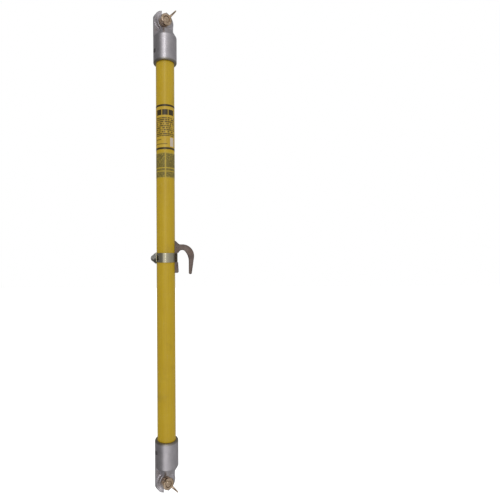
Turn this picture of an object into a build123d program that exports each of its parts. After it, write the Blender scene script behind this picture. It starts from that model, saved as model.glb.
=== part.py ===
"""Lineman hot stick: a foam-filled fibreglass tube with a universal head on each end and a clamp-on hanger.

Millimetres. The origin is on the tube's axis at mid-length, +Z runs along the stick, +X points at the hook
and -Y is the side that the heads' faces and the clamp screw's head are turned to.
"""

import math
import os

from build123d import *

# Tube
tube_outer_d = 31.75
tube_wall = 3.2
tube_length = 720.8
end_plug_length = 24.0
label_thickness = 0.1
label_tube_gap = 0.01
label_setback = 111.0
name_label_length = 77.0
label_spacing = 4.6
text_label_length = 43.2
label_seam = 3.0
label_seam_angle = 110.0

# Universal heads
bond_thickness = 0.3
bond_gap = 0.01
socket_outer_d = 40.3
socket_depth = 38.4
socket_end_gap = 0.5
rim_round = 3.0
shoulder_height = 44.5
shoulder_rise = 16.5
shoulder_top_d = 21.2
shoulder_round = 2.0
face_turn = 32.5
face_setback = 2.0
face_d = 37.0
face_chamfer = 0.9
spot_face_d = 38.6
face_boss = 2.0
face_centre_height = 75.4
tang_thickness = 10.0
tang_length = 37.0
tang_edge_round = 2.0
tooth_count = 36
tooth_depth = 0.8
tooth_width = 2.2
tooth_inner_d = 24.4
tooth_flank_angle = 45.0
slot_clearance = 0.2

# Cross pins and slot pins of the heads
cross_pin_d = 4.8
cross_pin_height = 19.0
cross_pin_head_d = 6.6
cross_pin_head_height = 0.7
cross_pin_head_round = 0.6
slot_pin_d = 3.0
slot_pin_height = 12.2
slot_pin_depth = 6.0
slot_pin_chamfer = 0.4

# Captive bolt, washer and wing nut of each head
bolt_d = 7.9
bolt_running_gap = 0.05
neck_width = 8.0
neck_length = 10.0
bolt_head_d = 13.0
bolt_head_height = 4.5
bolt_head_round = 2.4
bolt_play = 8.0
bolt_lip_d = 9.6
bolt_lip_height = 0.8
bolt_lip_chamfer = 0.4
bolt_end_recess = 0.4
seat_gap = 0.2
washer_d = 16.0
washer_thickness = 1.5
washer_bore_gap = 0.35
washer_chamfer = 0.35
hub_d = 20.6
hub_flare = 18.0
hub_height = 7.6
hub_round = 1.0
hub_counterbore_d = 11.4
hub_counterbore_depth = 3.4
wing_root_inset = 3.9
wing_reach = 18.4
wing_rise = 11.5
wing_heel_drop = 3.4
wing_heel_rise = 3.2
wing_tip_width = 4.6
wing_tip_round = 2.1
wing_thickness = 2.4
wing_angle = 45.5

# Hanger hook
hanger_clearance = 0.35
hook_thickness = 9.0
hook_edge_round = 2.2
crown_radius = 6.6
crown_centre_x = 28.2
crown_centre_z = -4.0
crown_end_angle = 40.0
hook_opening_x = 39.5
hook_top_z = 12.4
hook_back_radius = 20.0
hook_arm_x = 48.8
hook_taper = 8.2
hook_tip_z = -38.9
hook_tip_round = 0.49
foot_top_z = 18.6
foot_top_thickness = 0.9
foot_root_x = 23.2
foot_bottom_z = -36.6
toe_top_x = 21.0
toe_x = 22.2
toe_round = 2.4
root_round = 5.5

# Band clamp
band_width = 15.9
band_thickness = 0.7
band_centre_z = -10.3
band_side_gap = 0.2
band_seat_x = 19.6
band_tail_start = 108.0
band_tail_end = 204.0
band_slot_count = 9
band_slot_start = 113.0
band_slot_pitch = 4.4
band_slot_length = 9.0
band_slot_width = 0.9

# Worm screw and its housing
housing_length = 14.0
housing_base_height = 20.6
housing_top_height = 6.6
housing_top_x = -24.7
housing_centre_z = -11.0
housing_round = 2.0
housing_window_length = 9.0
housing_window_height = 5.0
worm_d = 5.6
worm_root_d = 4.2
worm_pitch = 2.1
worm_thread_width = 1.05
worm_running_gap = 0.06
worm_band_gap = 0.3
screw_end_gap = 0.3
screw_collar_d = 9.0
screw_collar_height = 1.1
screw_hex_width = 7.0
screw_hex_height = 4.6
screw_slot_width = 1.3
screw_slot_depth = 1.4
screw_edge = 0.4

tube_r = tube_outer_d / 2
tube_bore_r = tube_r - tube_wall
tube_end_z = tube_length / 2
name_label_top_z = tube_end_z - label_setback
text_label_top_z = name_label_top_z - name_label_length - label_spacing
socket_bore_r = tube_r + bond_thickness
socket_r = socket_outer_d / 2
rim_z = tube_end_z + socket_end_gap - socket_depth
pin_z = rim_z + cross_pin_height
face_z = rim_z + face_centre_height

turn = math.radians(face_turn)
face_normal = Vector(math.sin(turn), -math.cos(turn), 0)
face_across = Vector(math.cos(turn), math.sin(turn), 0)

washer_base = seat_gap
hub_base = washer_base + washer_thickness + seat_gap
hub_end = hub_base + hub_height
slot_width = neck_width + 2 * slot_clearance

os.makedirs("parts", exist_ok=True)


def save(piece, name):
    """Labels a finished piece and writes it to its own file."""
    piece.part.label = name
    export_step(piece.part, f"parts/{name}.step")


def rim_plane(end):
    """The plane of a head's rim, its normal pointing along the stick towards the end."""
    return Plane(origin=(0, 0, end * rim_z), x_dir=face_across, z_dir=(0, 0, end))


def profile_plane(end):
    """A half plane through the axis for a turned profile: own X is the radius, own Y the height above the rim."""
    return Plane(origin=(0, 0, end * rim_z), x_dir=(1, 0, 0), z_dir=(0, -end, 0))


def face_plane(end):
    """The plane of a head's toothed face: normal out of the face, its own Y towards the end of the stick."""
    centre = face_normal * -face_setback + Vector(0, 0, end * face_z)
    return Plane(origin=centre, x_dir=face_across * end, z_dir=face_normal)


def across_plane(end, height, depth):
    """A plane across a head, for a pin at a height above the rim and a depth behind the face."""
    centre = face_normal * (-face_setback - depth) + Vector(0, 0, end * (rim_z + height))
    return Plane(origin=centre, x_dir=face_normal, z_dir=face_across)


def wing_plane(end, side):
    """The plane of one wing: its own X points outwards along the wing and its own Y out of the face."""
    angle = math.radians(wing_angle)
    outwards = (face_across * math.cos(angle) + Vector(0, 0, end * math.sin(angle))) * side
    return Plane(origin=face_plane(end).origin, x_dir=outwards, z_dir=outwards.cross(face_normal))


# Foam-filled tube, its end plugs and its labels
with BuildPart() as tube:
    with BuildSketch(Plane.XY.offset(-tube_end_z)):
        Circle(tube_r)
        Circle(tube_bore_r, mode=Mode.SUBTRACT)
    extrude(amount=tube_length)
    for end in (1, -1):
        with BuildSketch(across_plane(end, cross_pin_height, -face_setback)):
            Circle(cross_pin_d / 2)
        extrude(amount=socket_r, both=True, mode=Mode.SUBTRACT)
save(tube, "tube")

with BuildPart() as foam_core:
    with BuildSketch(Plane.XY):
        Circle(tube_bore_r)
    extrude(amount=tube_end_z - end_plug_length, both=True)
save(foam_core, "foam_core")


def make_end_plug(end):
    """The rigid plug that closes one end of the tube and backs up the cross pin."""
    with BuildPart() as plug:
        with BuildSketch(Plane(origin=(0, 0, end * tube_end_z), z_dir=(0, 0, -end))):
            Circle(tube_bore_r)
        extrude(amount=end_plug_length)
        with BuildSketch(across_plane(end, cross_pin_height, -face_setback)):
            Circle(cross_pin_d / 2)
        extrude(amount=socket_r, both=True, mode=Mode.SUBTRACT)
    return plug


def make_label(top_z, length):
    """A printed film wrapped round the tube, with a narrow seam at the back."""
    with BuildPart() as label:
        with BuildSketch(Plane.XY.offset(top_z)):
            Circle(tube_r + label_thickness)
            Circle(tube_r + label_tube_gap, mode=Mode.SUBTRACT)
            with PolarLocations(tube_r, 1, start_angle=label_seam_angle):
                Rectangle(tube_wall, label_seam, mode=Mode.SUBTRACT)
        extrude(amount=-length)
    return label


save(make_label(name_label_top_z, name_label_length), "name_label")
save(make_label(text_label_top_z, text_label_length), "text_label")


def make_bond_line(end):
    """The film of epoxy between a head's socket and the tube."""
    with BuildPart() as bond:
        with BuildSketch(Plane(origin=(0, 0, end * tube_end_z), z_dir=(0, 0, -end))):
            Circle(socket_bore_r - bond_gap)
            Circle(tube_r + bond_gap, mode=Mode.SUBTRACT)
        extrude(amount=tube_end_z - rim_z)
        with BuildSketch(across_plane(end, cross_pin_height, -face_setback)):
            Circle(cross_pin_d / 2)
        extrude(amount=socket_r, both=True, mode=Mode.SUBTRACT)
    return bond


def make_head(end):
    """A cast universal head: socket with a sloping shoulder, tang with a toothed face, open slot for the bolt."""
    face = face_plane(end)
    with BuildPart() as head:
        with BuildSketch(face.offset(-face_boss)):
            Circle(face_d / 2)
            Rectangle(face_d, tang_length, align=(Align.CENTER, Align.MAX))
        extrude(amount=face_boss - tang_thickness)
        with BuildSketch(rim_plane(end)):
            Circle(socket_r)
        extrude(amount=face_centre_height + face_d, mode=Mode.INTERSECT)
        back = head.faces().filter_by(GeomType.PLANE).sort_by(Axis((0, 0, 0), face_normal))[0]
        fillet(back.edges(), radius=tang_edge_round)
        with BuildSketch(face.offset(-face_boss)):
            Circle(face_d / 2)
        extrude(amount=face_boss)
        front = head.faces().filter_by(GeomType.PLANE).sort_by(Axis((0, 0, 0), face_normal))[-1]
        chamfer(front.edges(), length=face_chamfer)
        with BuildSketch(profile_plane(end)) as profile:
            with BuildLine():
                base = Line((0, 0), (socket_r - rim_round, 0))
                rim = CenterArc((socket_r - rim_round, rim_round), rim_round, -90, 90)
                Polyline(
                    rim @ 1,
                    (socket_r, shoulder_height),
                    (shoulder_top_d / 2, shoulder_height + shoulder_rise),
                    (0, shoulder_height + shoulder_rise),
                    base @ 0,
                )
            make_face()
            side_end = profile.vertices().group_by(Axis.X)[-1].sort_by(Axis.Y)[-1]
            fillet(side_end, radius=shoulder_round)
        revolve(axis=Axis.Z)
        with BuildSketch(face):
            Circle(spot_face_d / 2)
        extrude(amount=socket_outer_d, mode=Mode.SUBTRACT)
        with BuildSketch(rim_plane(end)):
            Circle(socket_bore_r)
        extrude(amount=socket_depth, mode=Mode.SUBTRACT)
        with BuildSketch(across_plane(end, cross_pin_height, -face_setback)):
            Circle(cross_pin_d / 2)
        extrude(amount=socket_r, both=True, mode=Mode.SUBTRACT)
        with BuildSketch(across_plane(end, face_centre_height + slot_pin_height, slot_pin_depth)):
            Circle(slot_pin_d / 2)
        extrude(amount=socket_r, both=True, mode=Mode.SUBTRACT)
        with BuildSketch(face):
            with Locations((0, (face_d - slot_width) / 2)):
                Rectangle(slot_width, face_d)
        extrude(amount=-socket_outer_d, mode=Mode.SUBTRACT)
        with BuildSketch(face):
            with PolarLocations(tooth_inner_d / 2, tooth_count, start_angle=180 / tooth_count):
                Rectangle(face_d / 2, tooth_width, align=(Align.MIN, Align.CENTER))
        extrude(amount=-tooth_depth, taper=tooth_flank_angle, mode=Mode.SUBTRACT)
    return head


def make_cross_pin(end):
    """The rivet through socket, tube and end plug, with a low domed head on each side."""
    half = socket_r + cross_pin_head_height
    centre = (0, 0, end * pin_z)
    with BuildPart() as pin:
        with BuildSketch(Plane(origin=centre, x_dir=face_normal, z_dir=(0, 0, 1))) as profile:
            with BuildLine():
                Polyline(
                    (0, -half),
                    (cross_pin_head_d / 2, -half),
                    (cross_pin_head_d / 2, -socket_r),
                    (cross_pin_d / 2, -socket_r),
                    (cross_pin_d / 2, socket_r),
                    (cross_pin_head_d / 2, socket_r),
                    (cross_pin_head_d / 2, half),
                    (0, half),
                    close=True,
                )
            make_face()
            rims = profile.vertices().group_by(Axis.X)[-1].sort_by(Axis.Y)
            fillet([rims[0], rims[-1]], radius=cross_pin_head_round)
        revolve(axis=Axis(centre, face_across))
    return pin


def make_slot_pin(end):
    """The pin across the slot's mouth, which keeps the loosened bolt from sliding out."""
    length = 2 * math.sqrt((face_d / 2) ** 2 - (slot_pin_height + slot_pin_d / 2) ** 2)
    with BuildPart() as pin:
        with BuildSketch(across_plane(end, face_centre_height + slot_pin_height, slot_pin_depth)):
            Circle(slot_pin_d / 2)
        extrude(amount=length / 2, both=True)
        chamfer(pin.edges().filter_by(GeomType.CIRCLE), length=slot_pin_chamfer)
    return pin


def make_bolt(end):
    """The captive bolt: round head behind the tang, square neck in its slot, and a swaged lip at the free end."""
    face = face_plane(end)
    head_seat = -tang_thickness - bolt_play
    with BuildPart() as bolt:
        with BuildSketch(face.offset(head_seat)):
            Circle(bolt_head_d / 2)
        extrude(amount=-bolt_head_height)
        crown = bolt.edges().filter_by(GeomType.CIRCLE).sort_by(Axis((0, 0, 0), face_normal))[0]
        fillet(crown, radius=bolt_head_round)
        with BuildSketch(face.offset(head_seat)):
            Rectangle(neck_width, neck_width)
        extrude(amount=neck_length)
        with BuildSketch(face.offset(head_seat)):
            Circle(bolt_d / 2)
        extrude(amount=hub_end - bolt_end_recess - head_seat)
        with BuildSketch(face.offset(hub_end - bolt_end_recess)):
            Circle(bolt_lip_d / 2)
        extrude(amount=-bolt_lip_height)
        free_end = bolt.edges().filter_by(GeomType.CIRCLE).sort_by(Axis((0, 0, 0), face_normal))[-1]
        chamfer(free_end, length=bolt_lip_chamfer)
    return bolt


def make_washer(end):
    """The plain washer under the wing nut."""
    with BuildPart() as washer:
        with BuildSketch(face_plane(end).offset(washer_base)):
            Circle(washer_d / 2)
            Circle(bolt_d / 2 + washer_bore_gap, mode=Mode.SUBTRACT)
        extrude(amount=washer_thickness)
        outer = washer.edges().filter_by(GeomType.CIRCLE).sort_by(SortBy.RADIUS)[-2:]
        chamfer(outer, length=washer_chamfer)
    return washer


def make_wing_nut(end):
    """The cast wing nut: a hub that flares outwards, counterbored over the bolt's end, and two thin upswept wings."""
    face = face_plane(end)
    root = hub_d / 2 - wing_root_inset
    with BuildPart() as nut:
        with BuildSketch(face.offset(hub_end)):
            Circle(hub_d / 2)
        extrude(amount=-hub_height, taper=hub_flare)
        fillet(nut.edges().filter_by(GeomType.CIRCLE), radius=hub_round)
        for side in (1, -1):
            with BuildSketch(wing_plane(end, side)) as wing:
                with BuildLine():
                    Polyline(
                        (root, hub_end - wing_heel_drop),
                        (hub_d / 2, hub_end - wing_heel_drop),
                        (wing_reach, hub_end + wing_heel_rise),
                        (wing_reach, hub_end + wing_rise),
                        (wing_reach - wing_tip_width, hub_end + wing_rise),
                        (root, hub_end - hub_round),
                        close=True,
                    )
                make_face()
                fillet(wing.vertices().group_by(Axis.Y)[-1], radius=wing_tip_round)
            extrude(amount=wing_thickness / 2, both=True)
        with BuildSketch(face.offset(hub_base)):
            Circle(bolt_d / 2 + bolt_running_gap)
        extrude(amount=hub_height, mode=Mode.SUBTRACT)
        with BuildSketch(face.offset(hub_end)):
            Circle(hub_counterbore_d / 2)
        extrude(amount=-hub_counterbore_depth, mode=Mode.SUBTRACT)
    return nut


for end, name in ((1, "top"), (-1, "bottom")):
    save(make_end_plug(end), f"{name}_end_plug")
    save(make_bond_line(end), f"{name}_bond_line")
    save(make_head(end), f"{name}_head")
    save(make_cross_pin(end), f"{name}_cross_pin")
    save(make_slot_pin(end), f"{name}_slot_pin")
    save(make_bolt(end), f"{name}_bolt")
    save(make_washer(end), f"{name}_washer")
    save(make_wing_nut(end), f"{name}_wing_nut")


# Hanger hook: a flat casting with rounded edges, whose foot lies along the tube under the band
hanger_bore_r = tube_r + hanger_clearance
hook_half = hook_thickness / 2
crown_end = math.radians(crown_end_angle)
crown_end_x = crown_centre_x + crown_radius * math.cos(crown_end)
crown_end_z = crown_centre_z + crown_radius * math.sin(crown_end)
bend_radius = (hook_opening_x - crown_end_x) / (1 - math.cos(crown_end))
bend_end_z = crown_end_z - bend_radius * math.sin(crown_end)
back_centre = (hook_arm_x - hook_back_radius, hook_top_z - hook_back_radius)
taper = math.radians(hook_taper)
arm_top_x = back_centre[0] + hook_back_radius * math.cos(taper)
arm_top_z = back_centre[1] - hook_back_radius * math.sin(taper)
tip_x = arm_top_x - (arm_top_z - hook_tip_z) * math.tan(taper)
seat_top_z = band_centre_z + band_width / 2 + band_side_gap
seat_bottom_z = band_centre_z - band_width / 2 - band_side_gap
seat_round = hook_half
seat_centre_x = band_seat_x - seat_round

with BuildPart() as hanger_hook:
    with BuildSketch(Plane.XZ) as outline:
        with BuildLine():
            foot_end = Line((0, foot_top_z), (tube_r + foot_top_thickness, foot_top_z))
            root = Line(foot_end @ 1, (foot_root_x, hook_top_z))
            top = Line(root @ 1, (back_centre[0], hook_top_z))
            back = CenterArc(back_centre, hook_back_radius, 90, -90 - hook_taper)
            arm_back = Line(back @ 1, (tip_x, hook_tip_z))
            tip = Line(arm_back @ 1, (hook_opening_x, hook_tip_z))
            arm_front = Line(tip @ 1, (hook_opening_x, bend_end_z))
            bend = CenterArc((hook_opening_x - bend_radius, bend_end_z), bend_radius, 0, crown_end_angle)
            crown_angle = 180 - crown_end_angle
            crown = CenterArc((crown_centre_x, crown_centre_z), crown_radius, crown_end_angle, crown_angle)
            foot_front = Line(crown @ 1, (toe_top_x, seat_bottom_z))
            toe = Line(foot_front @ 1, (toe_x, foot_bottom_z))
            Polyline(toe @ 1, (0, foot_bottom_z), foot_end @ 0)
        make_face()
        tip_corners = outline.vertices().sort_by_distance((hook_opening_x, hook_tip_z))[:2]
        fillet(tip_corners, radius=(tip_x - hook_opening_x) * hook_tip_round)
        toe_corner = outline.vertices().sort_by_distance((toe_x, foot_bottom_z))[0]
        fillet(toe_corner, radius=toe_round)
        root_corner = outline.vertices().sort_by_distance((foot_root_x, hook_top_z))[0]
        fillet(root_corner, radius=root_round)
    extrude(amount=hook_half, both=True)
    fillet(hanger_hook.faces().filter_by(Axis.Y).edges(), radius=hook_edge_round)
    with BuildSketch(Plane.XY.offset(seat_bottom_z)):
        with Locations((crown_centre_x / 2, 0)):
            Rectangle(crown_centre_x, 2 * hook_thickness)
        with BuildSketch(mode=Mode.SUBTRACT):
            Circle(hanger_bore_r)
            with Locations((seat_centre_x, 0)):
                Circle(seat_round)
            make_hull()
    extrude(amount=seat_top_z - seat_bottom_z, mode=Mode.SUBTRACT)
    with BuildSketch(Plane.XY.offset(foot_bottom_z)):
        Circle(hanger_bore_r)
    extrude(amount=foot_top_z - foot_bottom_z, mode=Mode.SUBTRACT)
    split(bisect_by=Plane.YZ, keep=Keep.TOP)
save(hanger_hook, "hanger_hook")

# Band clamp: a closed strap over tube and hook foot, with its free end lapped outside under the housing
band_r = hanger_bore_r + band_thickness
tail_r = band_r + band_thickness
band_plane = Plane.XY.offset(band_centre_z - band_width / 2)

with BuildPart() as clamp_band:
    with BuildSketch(band_plane):
        with BuildSketch():
            Circle(band_r)
            with Locations((seat_centre_x, 0)):
                Circle(seat_round + band_thickness)
            make_hull()
        with BuildSketch(mode=Mode.SUBTRACT):
            Circle(hanger_bore_r)
            with Locations((seat_centre_x, 0)):
                Circle(seat_round)
            make_hull()
    extrude(amount=band_width)
    with BuildSketch(band_plane):
        with BuildLine():
            outer = CenterArc((0, 0), tail_r, band_tail_start, band_tail_end - band_tail_start)
            inner = CenterArc((0, 0), band_r, band_tail_start, band_tail_end - band_tail_start)
            Line(outer @ 0, inner @ 0)
            Line(outer @ 1, inner @ 1)
        make_face()
    extrude(amount=band_width)
    for index in range(band_slot_count):
        angle = math.radians(band_slot_start + index * band_slot_pitch)
        outwards = (math.cos(angle), math.sin(angle), 0)
        start = Vector(*outwards) * band_r + Vector(0, 0, band_centre_z)
        with BuildSketch(Plane(origin=start, x_dir=(0, 0, 1), z_dir=outwards)):
            Rectangle(band_slot_length, band_slot_width)
        extrude(amount=2 * band_thickness, mode=Mode.SUBTRACT)
save(clamp_band, "clamp_band")

# Worm screw housing on the side away from the hook
screw_x = -(tail_r + worm_band_gap + worm_d / 2)
housing_bore_r = worm_d / 2 + worm_running_gap

with BuildPart() as clamp_housing:
    with BuildSketch(Plane.XZ) as section:
        with BuildLine():
            Polyline(
                (0, housing_centre_z - housing_base_height / 2),
                (-tube_r, housing_centre_z - housing_base_height / 2),
                (housing_top_x, housing_centre_z - housing_top_height / 2),
                (housing_top_x, housing_centre_z + housing_top_height / 2),
                (-tube_r, housing_centre_z + housing_base_height / 2),
                (0, housing_centre_z + housing_base_height / 2),
                close=True,
            )
        make_face()
        fillet(section.vertices().group_by(Axis.X)[0], radius=housing_round)
    extrude(amount=housing_length / 2, both=True)
    with BuildSketch(Plane.XZ):
        with Locations((screw_x, housing_centre_z)):
            Circle(housing_bore_r)
    extrude(amount=housing_length, both=True, mode=Mode.SUBTRACT)
    with BuildSketch(Plane.XZ):
        with Locations((screw_x / 2, housing_centre_z)):
            Rectangle(-screw_x, housing_window_height)
    extrude(amount=housing_window_length / 2, both=True, mode=Mode.SUBTRACT)
    with BuildSketch(Plane.XY.offset(housing_centre_z - housing_base_height)):
        Circle(tail_r)
    extrude(amount=2 * housing_base_height, mode=Mode.SUBTRACT)
save(clamp_housing, "clamp_housing")

# Worm screw: ringed worm in the housing, collar and slotted hexagon head in front of it
worm_plane = Plane(origin=(screw_x, housing_length / 2, housing_centre_z), x_dir=(1, 0, 0), z_dir=(0, -1, 0))
worm_rings = int((housing_length - worm_pitch) / worm_pitch)
collar_y = housing_length + screw_end_gap

with BuildPart() as clamp_screw:
    with BuildSketch(worm_plane):
        Circle(worm_root_d / 2)
    extrude(amount=collar_y)
    for index in range(worm_rings):
        with BuildSketch(worm_plane.offset(index * worm_pitch + worm_thread_width)):
            Circle(worm_d / 2)
        extrude(amount=worm_thread_width)
    with BuildSketch(worm_plane.offset(housing_length - worm_pitch)):
        Circle(worm_d / 2)
    extrude(amount=worm_pitch)
    with BuildSketch(worm_plane.offset(collar_y)):
        Circle(screw_collar_d / 2)
    extrude(amount=screw_collar_height)
    with BuildSketch(worm_plane.offset(collar_y + screw_collar_height)):
        RegularPolygon(screw_hex_width / 2, 6, major_radius=False)
    extrude(amount=screw_hex_height)
    head_end = clamp_screw.faces().sort_by(Axis.Y)[0]
    chamfer(head_end.edges(), length=screw_edge)
    with BuildSketch(worm_plane.offset(collar_y + screw_collar_height + screw_hex_height)):
        Rectangle(2 * screw_hex_width, screw_slot_width)
    extrude(amount=-screw_slot_depth, mode=Mode.SUBTRACT)
save(clamp_screw, "clamp_screw")
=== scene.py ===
# %% [markdown]
# # A lineman's hot stick
# A hot stick is an insulating pole: a yellow fibreglass tube filled with foam, a cast aluminium head on each
# end that takes other tools, and a hook clamped on at the middle to hang it by. The solid parts come from a
# CAD model, at their real size, and this script dresses them.
# Everything is in metres. The origin is on the tube's axis at mid-length, Z runs along the stick, and the
# camera looks along +Y.

# %% Load the frame
import math

import bpy
import numpy as np
from mathutils import Matrix, Vector


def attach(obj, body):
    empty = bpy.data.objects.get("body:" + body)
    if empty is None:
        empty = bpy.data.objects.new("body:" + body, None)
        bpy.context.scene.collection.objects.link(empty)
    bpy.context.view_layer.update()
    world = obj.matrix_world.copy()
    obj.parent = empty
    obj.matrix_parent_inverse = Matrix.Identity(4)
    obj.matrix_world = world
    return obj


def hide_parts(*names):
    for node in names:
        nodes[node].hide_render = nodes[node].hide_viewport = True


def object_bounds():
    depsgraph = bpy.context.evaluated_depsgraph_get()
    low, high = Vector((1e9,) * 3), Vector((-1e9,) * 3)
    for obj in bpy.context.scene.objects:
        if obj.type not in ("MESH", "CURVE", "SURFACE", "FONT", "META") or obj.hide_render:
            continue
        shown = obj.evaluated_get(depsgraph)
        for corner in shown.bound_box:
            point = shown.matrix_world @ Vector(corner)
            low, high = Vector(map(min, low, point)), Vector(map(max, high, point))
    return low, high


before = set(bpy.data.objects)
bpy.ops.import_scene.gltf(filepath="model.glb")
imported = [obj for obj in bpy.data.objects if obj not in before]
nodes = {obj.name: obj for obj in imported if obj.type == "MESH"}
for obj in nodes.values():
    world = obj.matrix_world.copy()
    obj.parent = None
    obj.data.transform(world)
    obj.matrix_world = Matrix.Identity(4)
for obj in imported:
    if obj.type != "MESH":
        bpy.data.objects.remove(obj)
cad_low, cad_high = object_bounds()

# %% [markdown]
# ## The camera
# The heads are seen clearly from below and from above, so the camera stands close, level with mid-length.
# The stick is left of the middle of the picture. Turning the camera would make the stick lean, so the
# picture is moved instead: partly by stepping aside, partly by shifting the lens, as a view camera does.
# The picture leans by a quarter of a degree, and so does the camera.

# %% Camera
CAMERA_DISTANCE = 0.66
CAMERA_ASIDE = 0.05
CAMERA_RISE = 0.0026
CAMERA_LENS = 27.53
CAMERA_SHIFT = 0.1104
CAMERA_LEAN = math.radians(-0.25)
NEAREST_SEEN = 0.01

camera_data = bpy.data.cameras.new("camera")
camera_data.lens = CAMERA_LENS
camera_data.shift_x = CAMERA_SHIFT
camera_data.clip_start = NEAREST_SEEN
camera = bpy.data.objects.new("camera", camera_data)
bpy.context.scene.collection.objects.link(camera)
level = Matrix.Rotation(math.pi / 2, 4, "X") @ Matrix.Rotation(CAMERA_LEAN, 4, "Z")
camera.matrix_world = Matrix.Translation((CAMERA_ASIDE, -CAMERA_DISTANCE, CAMERA_RISE)) @ level
bpy.context.scene.camera = camera
print("camera", tuple(round(v, 3) for v in camera.matrix_world.translation))

# %% [markdown]
# ## Small helpers for shader nodes
# A material is a graph of small boxes, and the same few kinds of box come up again and again. These helpers
# add one box each and join it up: a number goes onto the box's own field, and an output of another box
# becomes a link. Noise keeps mostly between 0.35 and 0.65, so those are the usual ends of a stretch that
# turns it into a mask or into two tones.

# %% Numbers


def feed(tree, socket, value):
    """Links an output to a socket, or writes a plain number or colour on it."""
    if isinstance(value, bpy.types.NodeSocket):
        tree.links.new(value, socket)
    else:
        socket.default_value = value


def maths(tree, operation, *values):
    """One arithmetic box: the operation's result for up to three values."""
    node = tree.nodes.new("ShaderNodeMath")
    node.operation = operation
    for socket, value in zip(node.inputs, values):
        feed(tree, socket, value)
    return node.outputs[0]


def remap(tree, value, low, high, to_low=0.0, to_high=1.0):
    """Stretches low..high to to_low..to_high in a straight line, and holds the ends."""
    node = tree.nodes.new("ShaderNodeMapRange")
    for title, entry in (("Value", value), ("From Min", low), ("From Max", high),
                         ("To Min", to_low), ("To Max", to_high)):
        feed(tree, node.inputs[title], entry)
    return node.outputs["Result"]


def between(tree, value, low, high, soft):
    """1 where the value lies from low to high, 0 outside, with edges as wide as soft."""
    rise = remap(tree, value, low - soft / 2, low + soft / 2)
    fall = remap(tree, value, high - soft / 2, high + soft / 2)
    return maths(tree, "SUBTRACT", rise, fall)


def summed(tree, base, *terms):
    """The base plus each mask times its amount. The terms are pairs of (mask, amount)."""
    for mask, amount in terms:
        base = maths(tree, "MULTIPLY_ADD", mask, amount, base)
    return base


print("number helpers ready")

# %% Places and patterns


def object_place(tree):
    """Where a point of the surface is, in metres in the object's own space."""
    return tree.nodes.new("ShaderNodeTexCoord").outputs["Object"]


def split_place(tree):
    """The same place as three separate numbers, X, Y and Z."""
    node = tree.nodes.new("ShaderNodeSeparateXYZ")
    feed(tree, node.inputs[0], object_place(tree))
    return node.outputs


def stretched(tree, vector, stretch):
    """The same coordinates multiplied axis by axis, which squeezes or draws out a pattern."""
    node = tree.nodes.new("ShaderNodeVectorMath")
    node.operation = "MULTIPLY"
    feed(tree, node.inputs[0], vector)
    feed(tree, node.inputs[1], stretch)
    return node.outputs["Vector"]


def noise(tree, vector, scale, detail=3.0, roughness=0.5):
    """Smooth random values near 0.5, with lumps about 1 / scale metres long."""
    node = tree.nodes.new("ShaderNodeTexNoise")
    for title, entry in (("Vector", vector), ("Scale", scale), ("Detail", detail), ("Roughness", roughness)):
        feed(tree, node.inputs[title], entry)
    return node.outputs["Fac"]


print("pattern helpers ready")

# %% Colours
USUAL_LOW, USUAL_HIGH = 0.35, 0.65


def blend(tree, factor, first, second):
    """The first colour where the factor is 0, the second where it is 1."""
    node = tree.nodes.new("ShaderNodeMix")
    node.data_type = "RGBA"
    colours = [s for s in node.inputs if s.type == "RGBA"]
    feed(tree, node.inputs["Factor"], factor)
    feed(tree, colours[0], first)
    feed(tree, colours[1], second)
    return [s for s in node.outputs if s.type == "RGBA"][0]


def two_tone(tree, pattern, tones, low=USUAL_LOW, high=USUAL_HIGH):
    """The first tone where the pattern is at low or less, the second where it is at high or more."""
    return blend(tree, remap(tree, pattern, low, high), *tones)


def layer(tree, under, mask, share, over):
    """The colour under, with the colour over laid on it as strongly as mask times share."""
    return blend(tree, maths(tree, "MULTIPLY", mask, share), under, over)


print("colour helpers ready")

# %% [markdown]
# ## Light
# The background is plain white paper. Lighting paper until it is white would also burn out the yellow, so
# the world is white only where the camera looks at it. For the object the world is a softbox all round:
# brightest behind the camera, dim on the left, middling on the right and at the back. Mirror-like surfaces
# see sharper steps between those sides than matt ones do, which is what makes metal look like metal.

# %% The sides of the softbox
SIDES_SEEN_BY_METAL = ((0.00, 0.30), (0.12, 0.24), (0.20, 0.20), (0.33, 0.20), (0.395, 0.26), (0.43, 0.80),
                       (0.465, 1.00), (0.52, 0.84), (0.575, 0.62), (0.66, 0.46), (0.76, 0.38), (0.90, 0.34),
                       (1.00, 0.30))
SIDES_SEEN_BY_MATT = ((0.00, 0.62), (0.25, 0.60), (0.50, 1.02), (0.75, 0.70), (1.00, 0.62))
WHITE = (1.0, 1.0, 1.0, 1.0)


def grey_ramp(tree, factor, stops):
    """A curve of grey through the given (place, strength) stops."""
    node = tree.nodes.new("ShaderNodeValToRGB")
    node.color_ramp.interpolation = "EASE"
    while len(node.color_ramp.elements) < len(stops):
        node.color_ramp.elements.new(0.5)
    for element, (place, strength) in zip(node.color_ramp.elements, stops):
        element.position = place
        element.color = (strength, strength, strength, 1.0)
    feed(tree, node.inputs["Fac"], factor)
    return node.outputs["Color"]


print("softbox stops", len(SIDES_SEEN_BY_METAL), "and", len(SIDES_SEEN_BY_MATT))

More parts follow.
